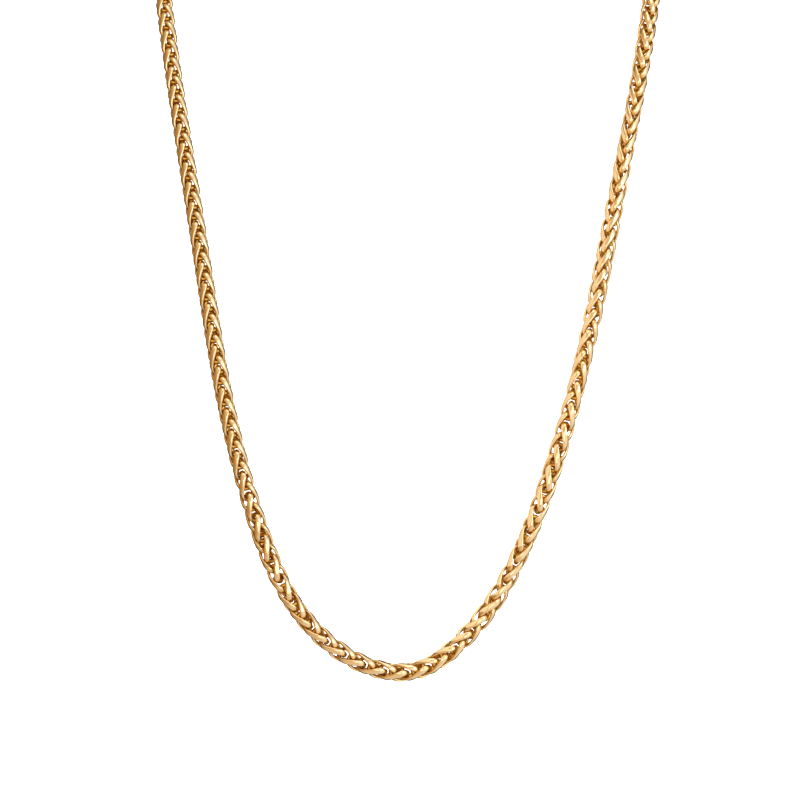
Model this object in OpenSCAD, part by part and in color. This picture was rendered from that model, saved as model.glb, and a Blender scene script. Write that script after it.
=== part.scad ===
// Wheat chain necklace, in the form that it has when worn.
// X runs to the wearer's left, Y to the back and Z up. The origin is where the nape carries it.
// The chain is plaited from bent links. Here it is a tube of the chain's own outer width.

/* [Chain] */
// Outer width of the chain
chain_w = 4.1; // [2:0.1:7]
// Flat sides round the chain's tube
sides = 12; // [8:1:12]
// Rings of the tube to each stretch of the route
rings_per_span = 3; // [2:1:3]

/* [Loop] */
// Width of the loop at its widest
loop_w = 117; // [95:1:140]
// Depth of the loop from the nape to the chest
loop_depth = 105; // [85:1:130]
// Drop from the nape to the lowest link
drop = 193; // [150:1:260]

/* [Clasp] */
// Length of the clasp's body
clasp_l = 9.0; // [6:0.5:16]
// Diameter of the clasp's body
clasp_d = 4.4; // [3.5:0.1:7]
// Length of the taper at each end of the body
clasp_taper = 1.2; // [0.5:0.1:2]
// Diameter of the body's small ends
clasp_end_d = 2.8; // [2:0.1:3.5]
// Wire diameter of the two end rings
ring_wire = 0.9; // [0.6:0.05:1.2]
// Hole of each end ring
ring_hole = 1.8; // [1.4:0.1:3]
// Gap between an end ring and the chain's tube
ring_gap = 0.15; // [0.1:0.05:0.4]

/* [Hidden] */
$fn = 64;
gold = "#e0a83c";

// Loop sizes that the chosen points were read at
read_w = 117;
read_depth = 105;
read_drop = 193;

// Corner points of the smooth route, as read off, from one end ring down and round to the other
points = [
    [-20, 0, 0], [-37, -8.5, -3], [-51, -25, -8], [-57.5, -46, -16.5], [-56.5, -70, -30],
    [-51, -85, -65], [-43.5, -95.5, -105], [-39, -101, -134], [-32.5, -103.5, -159],
    [-25, -105, -178.5], [-14, -105, -189.5], [-3.5, -105, -193.5], [5, -105, -192.5],
    [14, -105, -184.5], [21.5, -104.5, -174], [29.5, -103.5, -155.5], [38, -100, -127],
    [45, -92.5, -93], [52.5, -83, -60], [57.5, -70, -30], [58.5, -46, -16.5], [51.5, -25, -8],
    [37, -8.5, -3], [20, 0, 0],
];
// Place in the route of the point at the lowest link, where the two halves of the chain meet
lowest = 12;

ring_mid_r = (ring_hole + ring_wire) / 2;
// An end ring sinks into the body by half its wire
ring_x = clasp_l / 2 + ring_mid_r;
chain_end = ring_x + ring_mid_r + ring_wire / 2 + ring_gap;
// The chain's middle line passes the nape at this depth
nape_y = clasp_d / 2;

to_size = [loop_w / read_w, loop_depth / read_depth, drop / read_drop];
function sized(p) = [p[0] * to_size[0], p[1] * to_size[1], p[2] * to_size[2]];
route = concat([[-chain_end, 0, 0]], [for (p = points) sized(p)], [[chain_end, 0, 0]]);
last = len(route) - 1;
// One more point past each end makes the smooth route start and stop on the end points
guide = concat([2 * route[0] - route[1]], route, [2 * route[last] - route[last - 1]]);

function weights(t) = [(1 - t) ^ 3, 3 * t ^ 3 - 6 * t ^ 2 + 4, 1 + 3 * t + 3 * t ^ 2 - 3 * t ^ 3, t ^ 3] / 6;
function slopes(t) = [-(1 - t) ^ 2, 3 * t ^ 2 - 4 * t, 1 + 2 * t - 3 * t ^ 2, t ^ 2] / 2;
function blend(i, w) = w[0] * guide[i] + w[1] * guide[i + 1] + w[2] * guide[i + 2] + w[3] * guide[i + 3];
// Point and direction of the route at u, which counts its stretches
function span(u) = min(floor(u), last - 1);
function place(u) = blend(span(u), weights(u - span(u)));
function heading(u) = blend(span(u), slopes(u - span(u)));
function unit(v) = v / norm(v);

// The loop lies nearly in one sloping plane, and this points out of it
out_of_loop = [0, -0.8, 0.6];
function ring(u) =
    let(across = unit(cross(heading(u), out_of_loop)), up = unit(cross(across, heading(u))))
    [for (k = [0 : sides - 1]) place(u) + chain_w / 2 * (cos(360 * k / sides) * across + sin(360 * k / sides) * up)];

// Chain from one point of the route to another, as one closed tube
module chain(first, final) {
    rings = (final - first) * rings_per_span;
    translate([0, nape_y, 0]) polyhedron(
        points = [for (n = [0 : rings]) each ring(first + n / rings_per_span)],
        faces = concat(
            [[for (k = [0 : sides - 1]) k]],
            [for (n = [0 : rings - 1], k = [0 : sides - 1]) let(a = n * sides, b = a + sides, m = (k + 1) % sides)
                each [[a + k, b + k, b + m], [a + k, b + m, a + m]]],
            [[for (k = [sides - 1 : -1 : 0]) rings * sides + k]]
        )
    );
}

module chain_left() {
    color(gold) chain(0, lowest);
}

module chain_right() {
    color(gold) chain(lowest, last);
}

// Plain barrel with an end ring on each side, all one piece
module clasp() {
    straight = clasp_l - 2 * clasp_taper;
    color(gold) translate([0, nape_y, 0]) {
        rotate([0, 90, 0]) cylinder(d = clasp_d, h = straight, center = true);
        for (side = [0, 180]) rotate([0, 0, side]) {
            translate([straight / 2, 0, 0]) rotate([0, 90, 0])
                cylinder(d1 = clasp_d, d2 = clasp_end_d, h = clasp_taper);
            translate([ring_x, 0, 0]) rotate([90, 0, 0])
                rotate_extrude() translate([ring_mid_r, 0]) circle(d = ring_wire);
        }
    }
}

chain_left();
chain_right();
clasp();
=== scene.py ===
import math

import bpy
import numpy as np
from bpy.props import FloatProperty, FloatVectorProperty, IntProperty, PointerProperty, StringProperty
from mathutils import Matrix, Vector


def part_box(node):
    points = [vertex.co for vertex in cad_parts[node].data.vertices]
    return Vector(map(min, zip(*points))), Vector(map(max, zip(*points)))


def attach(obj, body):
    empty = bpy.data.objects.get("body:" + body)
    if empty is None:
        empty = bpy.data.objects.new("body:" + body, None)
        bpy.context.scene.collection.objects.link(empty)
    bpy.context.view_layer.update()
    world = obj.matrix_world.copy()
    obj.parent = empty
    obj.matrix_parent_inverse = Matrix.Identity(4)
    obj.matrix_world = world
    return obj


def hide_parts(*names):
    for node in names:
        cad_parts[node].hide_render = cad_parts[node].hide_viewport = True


bl_info = {
    "name": "Wheat chain necklace",
    "version": (1, 0, 0),
    "blender": (4, 5, 0),
    "location": "View3D > Sidebar > Necklace",
    "description": "Plaits a wheat chain link by link round its loop, with its barrel clasp and a studio",
    "category": "Object",
}

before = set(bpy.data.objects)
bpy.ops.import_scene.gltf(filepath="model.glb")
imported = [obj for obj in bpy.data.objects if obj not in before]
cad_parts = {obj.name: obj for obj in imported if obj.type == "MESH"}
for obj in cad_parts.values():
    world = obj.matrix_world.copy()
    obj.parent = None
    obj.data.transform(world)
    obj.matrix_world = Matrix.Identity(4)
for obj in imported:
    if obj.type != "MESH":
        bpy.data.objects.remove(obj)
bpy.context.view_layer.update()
CLASP_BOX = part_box("clasp")
MM = 0.001

# The route's corner points, in metres, from the clasp's ring at -X down and round to the one at +X.
# X runs to the wearer's left, Y to the back and Z up, and the chain is carried at the nape.
ROUTE = [
    (-0.0200, 0.0000, 0.0000), (-0.0370, -0.0085, -0.0030), (-0.0510, -0.0250, -0.0080),
    (-0.0575, -0.0460, -0.0165), (-0.0565, -0.0700, -0.0300), (-0.0510, -0.0850, -0.0650),
    (-0.0435, -0.0955, -0.1050), (-0.0390, -0.1010, -0.1340), (-0.0325, -0.1035, -0.1590),
    (-0.0250, -0.1050, -0.1785), (-0.0140, -0.1050, -0.1895), (-0.0035, -0.1050, -0.1935),
    (0.0050, -0.1050, -0.1925), (0.0140, -0.1050, -0.1845), (0.0215, -0.1045, -0.1740),
    (0.0295, -0.1035, -0.1555), (0.0380, -0.1000, -0.1270), (0.0450, -0.0925, -0.0930),
    (0.0525, -0.0830, -0.0600), (0.0575, -0.0700, -0.0300), (0.0585, -0.0460, -0.0165),
    (0.0515, -0.0250, -0.0080), (0.0370, -0.0085, -0.0030), (0.0200, 0.0000, 0.0000),
]
# Place in the route of the point at the lowest link, where the two halves meet
LOWEST = 12
# Places worked out along each stretch between two of the route's points
PLACES_PER_STRETCH = 200
# The route starts and stops this far from the middle, past the clasp's end rings
CHAIN_END = 7.8 * MM
# The end links' bows reach this far past the route, through the clasp's rings
BOW_PAST_END = 1.65 * MM
# Points straight out of the sloping plane that the loop lies in
OUT_OF_LOOP = np.array([0.0, -0.8, 0.6])
# How far the chain is turned about its own line: (millimetres along the route, degrees).
# The first and the last turn set the end links square to the clasp's rings, and the one at 90 is a guess.
TURNS = [
    (0, -36.9), (90, -12), (120, -3), (149, -2), (177, -2), (212, -1), (222, -1), (230, -6), (239, -23),
    (247, -42), (254, -58), (260, -73), (267, -80), (273, -82), (280, -73), (288, -68), (296, -66),
    (305, -43), (314, -17), (321, 0), (327, 13), (332, 24), (338, 41), (345, 59), (354, 79),
    (360, 87), (367, 99), (374, 112), (380, 125), (387, 136), (394, 147), (401, 160), (408, 171),
    (415, 177), (422, 185), (430, 196), (437, 207), (445, 217), (452, 225), (573, 233.1),
]
# Power of the swing of a link's sides between its two bows: 1 swings evenly, and more swings faster halfway
SWING = 1.55
# Pressing starts at this share of the wire's farthest distance from the chain's own line, and is whole
# at the second one
PRESS_FROM = 0.35
PRESS_FULL = 0.9
# Power that squares a pressed section, where 1 is an oval
SQUARENESS = 0.75
# Share of what stands outside the die that it pushes in
DIE_PRESS = 0.85
# Tumbling reaches the wire from this share of the chain's radius, and polishes it fully from the second one.
# Inside these shares the material also paints shade by deepening the gold's colour.
POLISH_AND_SHADE_FROM = 0.6
POLISH_AND_SHADE_FULL = 0.93
# Small step of angle, in radians, to either side of a place on the wire, for the wire's direction there
ANGLE_STEP = 1e-4
# Least length to divide by, in metres, so that a place on the chain's own line divides nothing by zero
LEAST_LENGTH = 1e-9


def linear(hex_colour):
    """sRGB hex to the linear values that shaders take."""
    parts = [int(hex_colour[i:i + 2], 16) / 255 for i in (1, 3, 5)]
    return tuple(c / 12.92 if c <= 0.04045 else ((c + 0.055) / 1.055) ** 2.4 for c in parts)


def unit(v):
    """A direction, or each row of an array of them, at a length of 1."""
    return v / np.linalg.norm(v, axis=-1, keepdims=True)


class NecklaceChain(bpy.types.PropertyGroup):
    wire: FloatProperty(
        name="Wire", description="Diameter of the wire that a link is bent from",
        default=1.03 * MM, min=0.5 * MM, max=1.2 * MM, unit="LENGTH", precision=5)
    width: FloatProperty(
        name="Width", description="Outer width of the plaited chain",
        default=4.02 * MM, min=2 * MM, max=7 * MM, unit="LENGTH", precision=5)
    bar_wide: FloatProperty(
        name="Bar width", description="Width of a link's side where the die has pressed it flat",
        default=1.24 * MM, min=0.6 * MM, max=1.6 * MM, unit="LENGTH", precision=5)
    bar_thick: FloatProperty(
        name="Bar thickness", description="Thickness of a link's side where the die has pressed it flat",
        default=0.68 * MM, min=0.4 * MM, max=1.2 * MM, unit="LENGTH", precision=5)
    slack: FloatProperty(
        name="Slack",
        description="Gap between a link's bow and the bow of the second link along, which it holds",
        default=0.1 * MM, min=0, max=0.4 * MM, unit="LENGTH", precision=5)
    links: IntProperty(
        name="Links", description="Links in the whole loop", default=250, min=200, max=320)
    steps: IntProperty(
        name="Steps", description="Rings of the mesh round one link", default=56, min=24, max=72)
    sides: IntProperty(
        name="Sides", description="Sides of the mesh round the wire", default=12, min=8, max=16)
    outer_colour: StringProperty(
        name="Outer colour", description="sRGB colour of the tumbled gold plate", default="#F5D7A8")
    # Painted shade: a deeper gold that the material blends in between the links, where they would shade one
    # another
    recess_shade_colour: StringProperty(
        name="Inner colour", description="sRGB colour of the gold plate between the links", default="#DFB150")


class NecklaceClasp(bpy.types.PropertyGroup):
    length: FloatProperty(
        name="Length", description="Length of the barrel without its rings",
        default=9.0 * MM, min=6 * MM, max=16 * MM, unit="LENGTH", precision=5)
    width: FloatProperty(
        name="Width", description="Diameter of the barrel",
        default=4.39 * MM, min=3.5 * MM, max=7 * MM, unit="LENGTH", precision=5)
    taper: FloatProperty(
        name="Taper", description="Length of the cone at each end of the barrel",
        default=1.2 * MM, min=0.5 * MM, max=2 * MM, unit="LENGTH", precision=5)
    end_width: FloatProperty(
        name="End width", description="Diameter of the barrel's small ends",
        default=2.8 * MM, min=2 * MM, max=3.5 * MM, unit="LENGTH", precision=5)
    edge: FloatProperty(
        name="Edge", description="Radius that buffing leaves on the barrel's edges",
        default=0.2 * MM, min=0.05 * MM, max=0.4 * MM, unit="LENGTH", precision=5)
    ring_wire: FloatProperty(
        name="Ring wire", description="Diameter of the wire of the two end rings",
        default=0.9 * MM, min=0.6 * MM, max=1.2 * MM, unit="LENGTH", precision=5)
    ring_hole: FloatProperty(
        name="Ring hole", description="Hole of each end ring",
        default=1.8 * MM, min=1.4 * MM, max=3 * MM, unit="LENGTH", precision=5)


class NecklaceStage(bpy.types.PropertyGroup):
    eye: FloatVectorProperty(
        name="Eye", description="Where the camera stands, level with the middle of the view",
        default=(-1.25 * MM, -522.8 * MM, -136.2 * MM), subtype="TRANSLATION")
    lens: FloatProperty(
        name="Lens", description="Focal length over a 36 mm sensor, in millimetres",
        default=90.73, min=20, max=200, unit="CAMERA")
    floor_drop: FloatProperty(
        name="Floor", description="Height of the pale floor, with the nape at 0",
        default=-0.45, min=-1, max=-0.25, unit="LENGTH")


def add(tree, kind, settings=None, **links):
    """Adds a node. settings are its properties, and links gives each named input a value or an output."""
    node = tree.nodes.new(kind)
    for name, value in (settings or {}).items():
        setattr(node, name, value)
    for name, value in links.items():
        socket = node.inputs[name.replace("_", " ")]
        if isinstance(value, bpy.types.NodeSocket):
            tree.links.new(value, socket)
        else:
            socket.default_value = value
    return node


def new_material(name):
    """An empty material and its node tree."""
    material = bpy.data.materials.new(name)
    material.use_nodes = True
    material.node_tree.nodes.clear()
    return material, material.node_tree


def polished_gold_plate_with_painted_shade(outer_colour, recess_shade_colour):
    """Gold plate on brass wire, drawn, pressed in a die and tumbled bright.
    The bars mirror the room softly. Between the links, where tumbling doesn't reach, the plate stays satin,
    and its colour is painted deeper there as painted shade."""
    material, tree = new_material("polished_gold_plate_with_painted_shade")
    inside = add(tree, "ShaderNodeAttribute", {"attribute_name": "inside"})
    where = add(tree, "ShaderNodeTexCoord").outputs["Object"]
    # Soft unevenness of the polish, some 0.7 mm across, which breaks the highlights from link to link
    uneven = add(tree, "ShaderNodeTexNoise", Vector=where, Scale=1 / (0.7 * MM), Detail=2.0, Roughness=0.5)
    # Scuffs of the tumbling, in truth finer than 0.1 mm, drawn at 0.2 mm so that they show
    scuffs = add(tree, "ShaderNodeTexNoise", Vector=where, Scale=1 / (0.2 * MM), Detail=3.0, Roughness=0.6)
    # Painted shade: the colour deepens towards the recess shade colour between the links, where the links
    # would shade one another
    colour = add(tree, "ShaderNodeMixRGB", Fac=inside.outputs["Fac"],
                 Color1=(*linear(outer_colour), 1), Color2=(*linear(recess_shade_colour), 1))
    polish = add(tree, "ShaderNodeMapRange", Value=scuffs.outputs["Fac"],
                 From_Min=0.35, From_Max=0.75, To_Min=0.07, To_Max=0.16)
    # Between the links the plate is rougher by up to 0.12
    satin = add(tree, "ShaderNodeMath", {"operation": "MULTIPLY_ADD"})
    tree.links.new(inside.outputs["Fac"], satin.inputs[0])
    satin.inputs[1].default_value = 0.12
    tree.links.new(polish.outputs[0], satin.inputs[2])
    bump = add(tree, "ShaderNodeBump", Strength=0.25, Distance=0.05 * MM, Height=uneven.outputs["Fac"])
    surface = add(tree, "ShaderNodeBsdfPrincipled", Metallic=1.0, Roughness=satin.outputs[0],
                  Base_Color=colour.outputs[0], Normal=bump.outputs[0])
    add(tree, "ShaderNodeOutputMaterial", Surface=surface.outputs[0])
    return material


def buffed_gold_plate(colour):
    """Gold plate on brass turned from bar and buffed on a wheel.
    It is a close mirror with faint rings from the lathe."""
    material, tree = new_material("buffed_gold_plate")
    where = add(tree, "ShaderNodeTexCoord").outputs["Object"]
    # Rings of the lathe tool, in truth some 0.05 mm apart, drawn 0.15 mm apart so that they show
    ring_gap = 0.15 * MM
    # A wave node repeats its bands each 2 pi / 20 of its own length
    rings = add(tree, "ShaderNodeTexWave", {"bands_direction": "X"}, Vector=where,
                Scale=2 * math.pi / 20 / ring_gap, Distortion=1.5, Detail=2.0, Detail_Scale=0.4)
    # Swirls of the buffing wheel, about 1 mm across
    swirls = add(tree, "ShaderNodeTexNoise", Vector=where, Scale=1 / (1.0 * MM), Detail=3.0, Roughness=0.55)
    polish = add(tree, "ShaderNodeMapRange", Value=swirls.outputs["Fac"],
                 From_Min=0.35, From_Max=0.7, To_Min=0.07, To_Max=0.16)
    bump = add(tree, "ShaderNodeBump", Strength=0.12, Distance=0.01 * MM, Height=rings.outputs["Fac"])
    surface = add(tree, "ShaderNodeBsdfPrincipled", Metallic=1.0, Roughness=polish.outputs[0],
                  Base_Color=(*linear(colour), 1), Normal=bump.outputs[0])
    add(tree, "ShaderNodeOutputMaterial", Surface=surface.outputs[0])
    return material


def pale_paper():
    """Matt white paper, evenly lit, which shows as a plain white ground."""
    material, tree = new_material("pale_paper")
    surface = add(tree, "ShaderNodeBsdfPrincipled", Roughness=0.9,
                  Base_Color=(*linear("#F4F4F4"), 1),
                  Emission_Color=(1, 1, 1, 1), Emission_Strength=1.0)
    add(tree, "ShaderNodeOutputMaterial", Surface=surface.outputs[0])
    return material


def paper_sweep(low, bend_steps=12):
    """One sheet of paper that runs back along the floor, at the height low, and curves up behind."""
    front, back, top = -3.0, 2.4, 3.0
    bend, half_width = 0.6, 3.0
    profile = [(front, low)]
    for a in np.linspace(0, np.pi / 2, bend_steps + 1):
        profile.append((back - bend + bend * math.sin(a), low + bend - bend * math.cos(a)))
    profile.append((back, top))
    points = np.array([(x, y, z) for y, z in profile for x in (-half_width, half_width)])
    faces = np.array([(2 * i, 2 * i + 1, 2 * i + 3, 2 * i + 2) for i in range(len(profile) - 1)])
    sweep = bpy.data.objects.new("paper_sweep", make_mesh("paper_sweep", points, faces))
    bpy.context.scene.collection.objects.link(sweep)
    return sweep


def studio_room(tree):
    """The room that the gold reflects.
    It is bright in front and to the right, dim and warm past the edge of the light on the left, and dark
    behind."""
    toward = add(tree, "ShaderNodeTexCoord").outputs["Generated"]
    axes = add(tree, "ShaderNodeSeparateXYZ", Vector=toward)
    across = add(tree, "ShaderNodeMapRange", Value=axes.outputs["X"], From_Min=-1.0, From_Max=1.0)
    side = add(tree, "ShaderNodeValToRGB", Fac=across.outputs[0])
    # Places from the far left, at 0, to the far right, at 1, and the room's colour there
    stops = [(0.12, "#B69361"), (0.28, "#DEBF97"), (0.42, "#E8D0B1"), (0.57, "#DDD6C4"), (0.80, "#FFFDF9")]
    # A ramp starts with two elements
    for place, _ in stops[2:]:
        side.color_ramp.elements.new(place)
    for element, (place, colour) in zip(side.color_ramp.elements, stops):
        element.position = place
        element.color = (*linear(colour), 1)
    # How bright the room is, from behind the chain to in front of it
    front = add(tree, "ShaderNodeMapRange", {"interpolation_type": "SMOOTHSTEP"},
                Value=axes.outputs["Y"], From_Min=0.7, From_Max=-0.2, To_Min=0.14, To_Max=1.05)
    # How much of the pale ground is in it, from level to steeply down
    ground = add(tree, "ShaderNodeMapRange", {"interpolation_type": "SMOOTHSTEP"},
                 Value=axes.outputs["Z"], From_Min=-0.15, From_Max=-0.8, To_Min=0.0, To_Max=0.45)
    walls = add(tree, "ShaderNodeMixRGB", Fac=ground.outputs[0], Color1=side.outputs[0],
                Color2=(*linear("#EDEBE7"), 1))
    room = add(tree, "ShaderNodeBackground", Color=walls.outputs[0], Strength=front.outputs[0])
    # Past the paper the camera sees plain white in place of the room
    plain = add(tree, "ShaderNodeBackground", Color=(1, 1, 1, 1), Strength=1.0)
    path = add(tree, "ShaderNodeLightPath")
    both = add(tree, "ShaderNodeMixShader", Fac=path.outputs["Is Camera Ray"])
    tree.links.new(room.outputs[0], both.inputs[1])
    tree.links.new(plain.outputs[0], both.inputs[2])
    add(tree, "ShaderNodeOutputWorld", Surface=both.outputs[0])


def smooth_route():
    """Places along the smooth route, their distances from its start, and the distance of the lowest link."""
    corners = np.array([(-CHAIN_END, 0, 0), *ROUTE, (CHAIN_END, 0, 0)], float)
    last = len(corners) - 1
    # One more point past each end makes the smooth route start and stop on the end points
    guide = np.vstack([2 * corners[0] - corners[1], corners, 2 * corners[last] - corners[last - 1]])
    u = np.linspace(0, last, last * PLACES_PER_STRETCH + 1)
    span = np.minimum(u.astype(int), last - 1)
    t = u - span
    weights = [(1 - t) ** 3, 3 * t ** 3 - 6 * t ** 2 + 4, 1 + 3 * t + 3 * t ** 2 - 3 * t ** 3, t ** 3]
    places = sum(w[:, None] * guide[span + k] for k, w in enumerate(weights)) / 6
    # The chain's own line passes the nape at the clasp's middle
    places[:, 1] += (CLASP_BOX[0].y + CLASP_BOX[1].y) / 2
    steps = np.linalg.norm(np.diff(places, axis=0), axis=1)
    lengths = np.concatenate([[0], np.cumsum(steps)])
    return places, lengths, lengths[LOWEST * PLACES_PER_STRETCH]


def smooth_step(x):
    """0 up to x = 0, 1 from x = 1 on, and an even rise between them."""
    x = np.clip(x, 0, 1)
    return x * x * (3 - 2 * x)


def wire_line(t, farthest, half):
    """The middle of a link's wire at angle t round it, at most farthest from the chain's own line.
    Its upper bow lies across X and its lower bow across Y, and each side swings from one to the other."""
    sin, cos = np.sin(t), np.cos(t)
    from_line = farthest * sin * np.sqrt(1 + cos ** 2)
    to_x, to_y = np.abs(np.cos(t / 2)) ** SWING, np.abs(np.sin(t / 2)) ** SWING
    size = np.hypot(to_x, to_y)
    return np.stack([from_line * to_x / size, from_line * to_y / size, half * cos], 1)


def link_mesh(chain, half):
    """One link about its own middle: its points, its faces of four corners, and how far inside the chain each
    point lies, from 0 to 1.
    The plait is drawn through a die, which presses the wire's outer side broad and flat between the bows."""
    outer = chain.width / 2
    farthest = outer - chain.bar_thick / 2
    t = np.linspace(0, 2 * np.pi, chain.steps, endpoint=False)
    middle = wire_line(t, farthest, half)
    ahead = wire_line(t + ANGLE_STEP, farthest, half)
    behind = wire_line(t - ANGLE_STEP, farthest, half)
    along = unit(ahead - behind)
    # The wire never runs along this diagonal, so there is always a side that is square to both
    diagonal = np.array([1.0, 1.0, 0.0])
    side = unit(np.cross(along, diagonal))
    up = np.cross(along, side)
    a = np.linspace(0, 2 * np.pi, chain.sides, endpoint=False)
    ring = np.cos(a)[None, :, None] * side[:, None] + np.sin(a)[None, :, None] * up[:, None]

    # Straight out from the chain's own line, and across that, at each step of the wire
    from_line = np.hypot(middle[:, 0], middle[:, 1])
    out = middle * [1, 1, 0] / np.maximum(from_line, LEAST_LENGTH)[:, None]
    out -= (out * along).sum(1, keepdims=True) * along
    out /= np.maximum(np.linalg.norm(out, axis=1, keepdims=True), LEAST_LENGTH)
    across = np.cross(along, out)
    pressed = smooth_step((from_line / farthest - PRESS_FROM) / (PRESS_FULL - PRESS_FROM))
    flat = np.zeros_like(ring)
    for axis, size in ((out, chain.bar_thick), (across, chain.bar_wide)):
        share = (ring * axis[:, None]).sum(2)
        squared = np.sign(share) * np.abs(share) ** SQUARENESS
        flat += (size * squared)[..., None] * axis[:, None]
    plain = chain.wire * ring
    ring = plain + pressed[:, None, None] * (flat - plain)
    points = (middle[:, None] + ring / 2).reshape(-1, 3)

    # What would stand outside the die's round hole is pushed back to it
    radius = np.hypot(points[:, 0], points[:, 1])
    beyond = np.maximum(radius - outer, 0)
    points[:, :2] *= (1 - DIE_PRESS * beyond / np.maximum(radius, LEAST_LENGTH))[:, None]

    i, k = np.meshgrid(np.arange(chain.steps), np.arange(chain.sides), indexing="ij")
    i2, k2 = (i + 1) % chain.steps, (k + 1) % chain.sides
    faces = np.stack([i * chain.sides + k, i * chain.sides + k2,
                      i2 * chain.sides + k2, i2 * chain.sides + k], -1).reshape(-1, 4)
    # How far inside the chain each point lies, which makes the plate rougher there and paints shade there by
    # deepening its colour
    inside = 1 - smooth_step((radius / outer - POLISH_AND_SHADE_FROM) / (POLISH_AND_SHADE_FULL - POLISH_AND_SHADE_FROM))
    return points, faces, inside


def make_mesh(name, points, faces):
    """A smooth mesh whose faces all have the same number of corners."""
    mesh = bpy.data.meshes.new(name)
    mesh.vertices.add(len(points))
    mesh.vertices.foreach_set("co", points.astype(np.float32).ravel())
    mesh.loops.add(faces.size)
    mesh.loops.foreach_set("vertex_index", faces.astype(np.int32).ravel())
    mesh.polygons.add(len(faces))
    mesh.polygons.foreach_set("loop_start", np.arange(0, faces.size, faces.shape[1], dtype=np.int32))
    mesh.update(calc_edges=True)
    mesh.validate()
    mesh.shade_smooth()
    return mesh


def link_spacing(chain, length):
    """Pitch of the links, and the length from a link's middle to the wire's middle at its bow.
    A link's bow holds that of the second link along, and the end links reach past the route into the clasp's
    rings."""
    grip = (chain.wire + chain.slack) / 2
    pitch = (length - 2 * (grip - BOW_PAST_END)) / (chain.links + 1)
    return pitch, pitch + grip


def plait(name, chain, first, final):
    """Links first to final - 1 of the loop as one mesh."""
    places, lengths, _ = smooth_route()
    pitch, half = link_spacing(chain, lengths[-1])
    points, faces, inside = link_mesh(chain, half)

    def place_at(s):
        return np.array([np.interp(s, lengths, places[:, k]) for k in range(3)])

    # The first link's middle lies this far along the route
    start = half - BOW_PAST_END
    all_points, all_faces = [], []
    for n in range(first, final):
        s = start + n * pitch
        centre = place_at(s)
        # A link is stiff, so it lies along the straight line between the places of its two neighbours
        heading = unit(place_at(s + pitch) - place_at(s - pitch))
        outward = unit(np.cross(heading, OUT_OF_LOOP))
        forward = np.cross(outward, heading)
        turn = math.radians(np.interp(s / MM, *zip(*TURNS)))
        y_axis = math.cos(turn) * forward + math.sin(turn) * outward
        x_axis = np.cross(y_axis, heading)
        # Every second link is a mirror image, so that the plait is even
        hand = 1 if n % 2 == 0 else -1
        axes = np.stack([hand * x_axis, y_axis, heading])
        all_faces.append((faces if hand == 1 else faces[:, ::-1]) + len(points) * (n - first))
        all_points.append(centre + points @ axes)
    mesh = make_mesh(name, np.vstack(all_points), np.vstack(all_faces))
    mesh.attributes.new("inside", "FLOAT", "POINT").data.foreach_set(
        "value", np.tile(inside, final - first).astype(np.float32))
    piece = bpy.data.objects.new(name, mesh)
    bpy.context.scene.collection.objects.link(piece)
    return piece


def rounded(corners, radius, steps=5):
    """An outline's points, with an arc of the given radius in place of each inner corner."""
    points = [corners[0]]
    for before, corner, after in zip(corners, corners[1:], corners[2:]):
        back, forth = unit(np.subtract(before, corner)), unit(np.subtract(after, corner))
        half_angle = math.acos(np.clip(back @ forth, -1, 1)) / 2
        middle = corner + unit(back + forth) * radius / math.sin(half_angle)
        # Straight out from the arc's middle to the two sides that it touches
        reach = radius / math.tan(half_angle)
        first, final = corner + back * reach - middle, corner + forth * reach - middle
        sweep = math.pi - 2 * half_angle
        for k in range(steps + 1):
            share = k / steps
            blend = math.sin((1 - share) * sweep) * first + math.sin(share * sweep) * final
            points.append(middle + blend / math.sin(sweep))
    points.append(corners[-1])
    return np.array(points)


def solid(name, points, faces):
    """A smooth object whose faces have any number of corners."""
    mesh = bpy.data.meshes.new(name)
    mesh.from_pydata(points.tolist(), [], faces)
    mesh.validate()
    mesh.shade_smooth()
    piece = bpy.data.objects.new(name, mesh)
    bpy.context.scene.collection.objects.link(piece)
    return piece


def barrel(clasp, place, around=96):
    """The clasp's turned body, with a cone at each end and buffed edges, lying along X."""
    end, shoulder = clasp.length / 2, clasp.length / 2 - clasp.taper
    corners = [(-end, 0), (-end, clasp.end_width / 2), (-shoulder, clasp.width / 2),
               (shoulder, clasp.width / 2), (end, clasp.end_width / 2), (end, 0)]
    profile = rounded([np.array(c) for c in corners], clasp.edge)[1:-1]
    a = np.linspace(0, 2 * np.pi, around, endpoint=False)
    points = [place + (x, r * math.cos(b), r * math.sin(b)) for x, r in profile for b in a]
    # A flat end first, then the bands from it to the other flat end
    faces = [tuple(range(around))]
    for i in range(len(profile) - 1):
        for k in range(around):
            k2 = (k + 1) % around
            faces.append((i * around + k, (i + 1) * around + k, (i + 1) * around + k2, i * around + k2))
    faces.append(tuple(range(len(points) - 1, len(points) - 1 - around, -1)))
    return solid("clasp_barrel", np.array(points), faces)


def end_ring(clasp, place, around=64, sides=20):
    """A wire ring in the plane of X and Z, soldered to the barrel's end."""
    middle = (clasp.ring_hole + clasp.ring_wire) / 2
    wire = clasp.ring_wire / 2
    points, faces = [], []
    for i in range(around):
        a = 2 * math.pi * i / around
        for k in range(sides):
            b = 2 * math.pi * k / sides
            out = middle + wire * math.cos(b)
            points.append(place + (out * math.cos(a), wire * math.sin(b), out * math.sin(a)))
            i2, k2 = (i + 1) % around, (k + 1) % sides
            faces.append((i * sides + k, i * sides + k2, i2 * sides + k2, i2 * sides + k))
    return solid("end_ring", np.array(points), faces)


def fuse(piece, others):
    """Joins solids that overlap into one closed mesh, as solder does."""
    for other in others:
        join = piece.modifiers.new("solder", "BOOLEAN")
        join.operation = "UNION"
        join.object = other
    graph = bpy.context.evaluated_depsgraph_get()
    mesh = bpy.data.meshes.new_from_object(piece.evaluated_get(graph))
    piece.modifiers.clear()
    piece.data = mesh
    for other in others:
        bpy.data.objects.remove(other)


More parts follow.
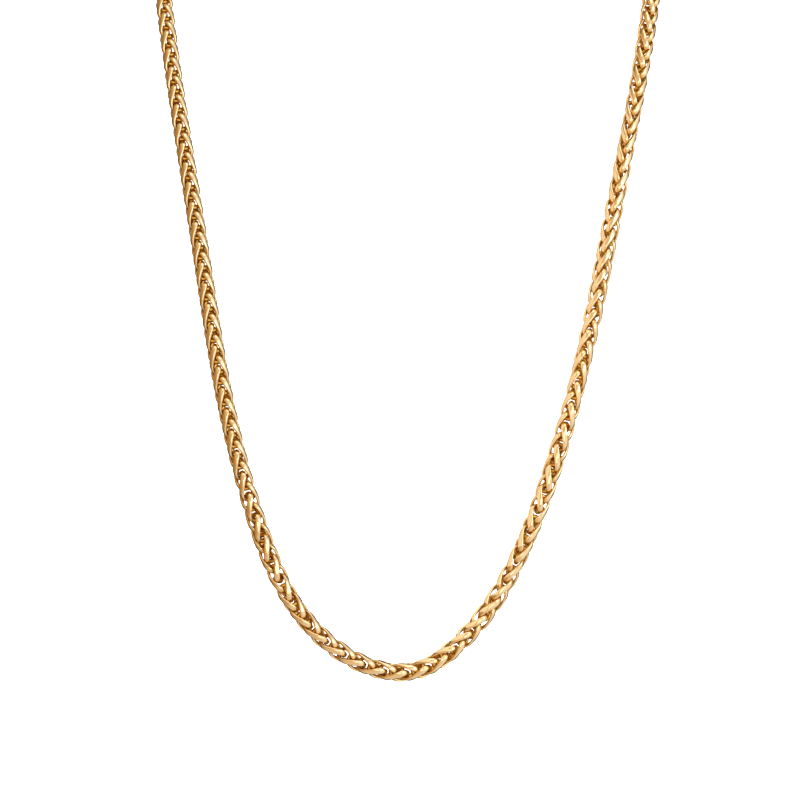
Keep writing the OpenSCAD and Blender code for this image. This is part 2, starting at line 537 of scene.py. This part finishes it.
class NECKLACE_OT_stage(bpy.types.Operator):
    """Sets the camera, the pale floor and the soft studio light"""
    bl_idname = "necklace.stage"
    bl_label = "Studio"

    def execute(self, context):
        scene = context.scene
        settings = scene.necklace_stage
        camera_data = bpy.data.cameras.new("camera")
        camera_data.sensor_width = 36
        camera_data.lens = settings.lens
        camera_data.clip_start = 0.01
        camera_data.clip_end = 20
        camera = bpy.data.objects.new("camera", camera_data)
        camera.location = settings.eye
        camera.rotation_euler = (math.radians(90), 0, 0)
        scene.collection.objects.link(camera)
        scene.camera = camera
        scene.view_settings.view_transform = "Standard"

        sweep = paper_sweep(settings.floor_drop)
        sweep.data.materials.append(pale_paper())
        # The gold mirrors the room and the lights, and not the paper
        sweep.visible_glossy = False

        world = bpy.data.worlds.new("studio")
        scene.world = world
        world.use_nodes = True
        tree = world.node_tree
        tree.nodes.clear()
        studio_room(tree)

        chain_middle = Vector((0, -0.1, -0.12))
        # Name, place, size in metres and brightness of each soft light
        softboxes = [
            ("key_softbox", (0.55, -0.60, 0.15), 0.45, 1.6),
            ("front_softbox", (0.12, -1.10, -0.05), 0.40, 1.4),
            ("top_softbox", (0.10, -0.30, 0.60), 0.40, 1.2),
            ("back_softbox", (-0.25, 0.80, 0.10), 0.60, 1.1),
            ("inner_card", (-0.01, -0.10, -0.10), 0.15, 0.65),
        ]
        for name, place, size, brightness in softboxes:
            light = bpy.data.lights.new(name, "AREA")
            light.shape = "SQUARE"
            light.size = size
            # The watts that give a square light this brightness
            light.energy = brightness * math.pi * size * size
            lamp = bpy.data.objects.new(name, light)
            lamp.location = place
            # The card hangs between the arms and lights the inner side of the one at +X
            aim = Vector((1, 0, 0)) if name == "inner_card" else chain_middle - Vector(place)
            lamp.rotation_euler = aim.to_track_quat("-Z", "Y").to_euler()
            lamp.visible_camera = False
            scene.collection.objects.link(lamp)
        return {"FINISHED"}


class NECKLACE_OT_chain(bpy.types.Operator):
    """Plaits the two halves of the chain, which meet at the lowest link"""
    bl_idname = "necklace.chain"
    bl_label = "Chain"

    def execute(self, context):
        chain = context.scene.necklace_chain
        _, lengths, lowest = smooth_route()
        pitch, half = link_spacing(chain, lengths[-1])
        at_lowest = int(round((lowest - half + BOW_PAST_END) / pitch))
        polish = polished_gold_plate_with_painted_shade(chain.outer_colour, chain.recess_shade_colour)
        for node, first, final in (("chain_left", 0, at_lowest), ("chain_right", at_lowest, chain.links)):
            piece = plait(node + "_links", chain, first, final)
            piece.data.materials.append(polish)
            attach(piece, "root")
            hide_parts(node)
        return {"FINISHED"}


class NECKLACE_OT_clasp(bpy.types.Operator):
    """Turns the barrel clasp and solders its two end rings on"""
    bl_idname = "necklace.clasp"
    bl_label = "Clasp"

    def execute(self, context):
        clasp = context.scene.necklace_clasp
        place = np.array((CLASP_BOX[0] + CLASP_BOX[1]) / 2)
        ring_x = (clasp.length + clasp.ring_hole + clasp.ring_wire) / 2
        piece = barrel(clasp, place)
        fuse(piece, [end_ring(clasp, place + (side * ring_x, 0, 0)) for side in (-1, 1)])
        piece.data.materials.clear()
        piece.data.materials.append(buffed_gold_plate(context.scene.necklace_chain.outer_colour))
        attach(piece, "root")
        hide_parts("clasp")
        return {"FINISHED"}


class NECKLACE_PT_panel(bpy.types.Panel):
    """Lists the necklace's sizes and steps"""
    bl_idname = "NECKLACE_PT_panel"
    bl_label = "Wheat chain necklace"
    bl_space_type = "VIEW_3D"
    bl_region_type = "UI"
    bl_category = "Necklace"

    def draw(self, context):
        layout = self.layout
        scene = context.scene
        for group in (scene.necklace_stage, scene.necklace_chain, scene.necklace_clasp):
            for name in group.__annotations__:
                layout.prop(group, name)
        for operator in OPERATORS:
            layout.operator(operator.bl_idname)


OPERATORS = (NECKLACE_OT_stage, NECKLACE_OT_chain, NECKLACE_OT_clasp)
CLASSES = (NecklaceChain, NecklaceClasp, NecklaceStage, *OPERATORS, NECKLACE_PT_panel)


def register():
    for cls in CLASSES:
        bpy.utils.register_class(cls)
    bpy.types.Scene.necklace_chain = PointerProperty(type=NecklaceChain)
    bpy.types.Scene.necklace_clasp = PointerProperty(type=NecklaceClasp)
    bpy.types.Scene.necklace_stage = PointerProperty(type=NecklaceStage)


def unregister():
    del bpy.types.Scene.necklace_stage
    del bpy.types.Scene.necklace_clasp
    del bpy.types.Scene.necklace_chain
    for cls in reversed(CLASSES):
        bpy.utils.unregister_class(cls)


def main():
    register()
    bpy.ops.necklace.stage()
    bpy.ops.necklace.chain()
    bpy.ops.necklace.clasp()


if __name__ == "__main__":
    main()
